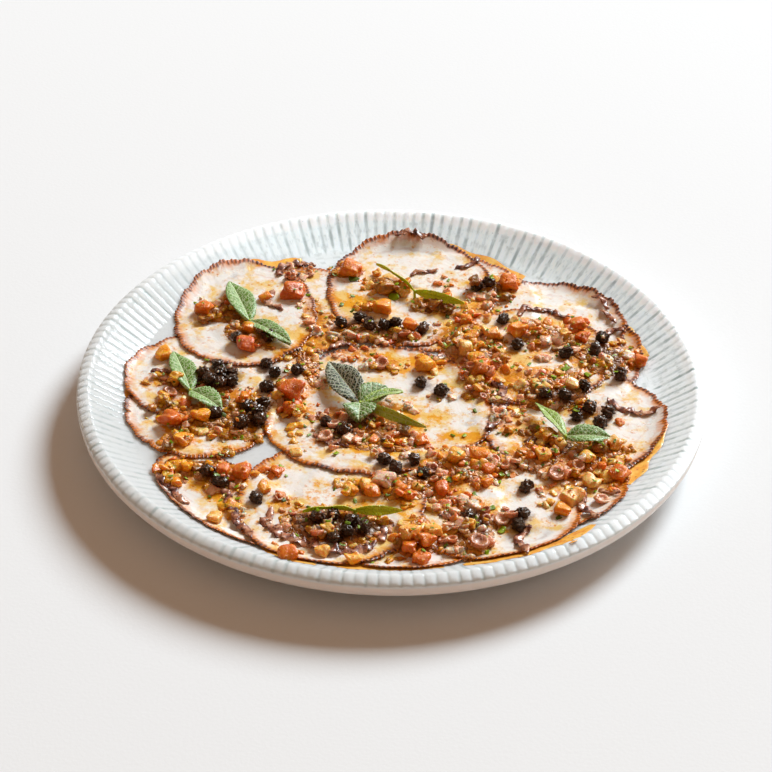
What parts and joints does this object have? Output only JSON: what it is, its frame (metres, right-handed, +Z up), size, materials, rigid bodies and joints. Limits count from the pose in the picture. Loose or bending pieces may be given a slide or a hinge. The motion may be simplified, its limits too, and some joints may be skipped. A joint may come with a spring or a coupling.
{
  "type": "octopus carpaccio on a plate",
  "caption": "Thin scalloped slices of pressed cooked octopus overlapping on a ribbed round plate, under diced relish, capers and mint sprigs.",
  "frame": {"origin": "under the middle of the plate, level with the bottom of its foot ring", "axes": "+Z up out of the plate; the plate is round, and +Y points from the diner's side of the dish to its far side"},
  "size_m": [0.28, 0.28, 0.0258],
  "materials": {
    "glaze": "glossy white glaze with grey-green streaks in the grooves between the ribs",
    "flesh": "moist cream octopus meat with brown-purple skin at the seams and edges",
    "relish": "oily dice of tomato, onion, olive and octopus skin with herb flecks",
    "tomato": "wet orange-red tomato flesh",
    "onion": "translucent golden onion, stained with oil",
    "caper": "wrinkled near-black caper",
    "mint": "grey-green leaf with a pale net of veins"
  },
  "bodies": {
    "root": {"plate": "glaze", "slice_lower_left": "flesh", "slice_far_left_under": "flesh", "slice_lower_right": "flesh", "slice_far_right_under": "flesh", "slice_far_under": "flesh", "slice_near": "flesh", "slice_near_right": "flesh", "slice_near_left": "flesh", "slice_right": "flesh", "slice_left": "flesh", "slice_far_right": "flesh", "slice_far": "flesh", "slice_upper_left": "flesh", "slice_far_left": "flesh", "slice_inner_right": "flesh", "slice_middle": "flesh", "relish_far_left": "relish", "relish_left_middle": "relish", "relish_left": "relish", "relish_left_low": "relish", "relish_left_inner": "relish", "relish_middle_left": "relish", "relish_middle_far_left": "relish", "relish_middle_far": "relish", "relish_far_edge": "relish", "relish_far": "relish", "relish_far_right": "relish", "relish_upper_right": "relish", "relish_right_far": "relish", "relish_right_edge": "relish", "relish_right_middle": "relish", "relish_middle_right": "relish", "relish_right": "relish", "relish_right_inner": "relish", "relish_lower_right": "relish", "relish_near_right": "relish", "relish_near": "relish", "relish_near_left": "relish", "relish_lower_left": "relish", "relish_middle_near": "relish", "relish_middle": "relish", "tomato_far_left": "tomato", "tomato_near_left": "tomato", "onion_lower_left": "onion", "onion_upper_left": "onion", "onion_lower_right": "onion", "caper_left_a": "caper", "caper_middle_a": "caper", "caper_middle_b": "caper", "caper_middle_near": "caper", "caper_lower_left": "caper", "caper_near_right": "caper", "mint_far_left": "mint", "mint_left": "mint", "mint_middle": "mint", "mint_far": "mint", "mint_right": "mint", "mint_near": "mint"}
  },
  "joints": []
}
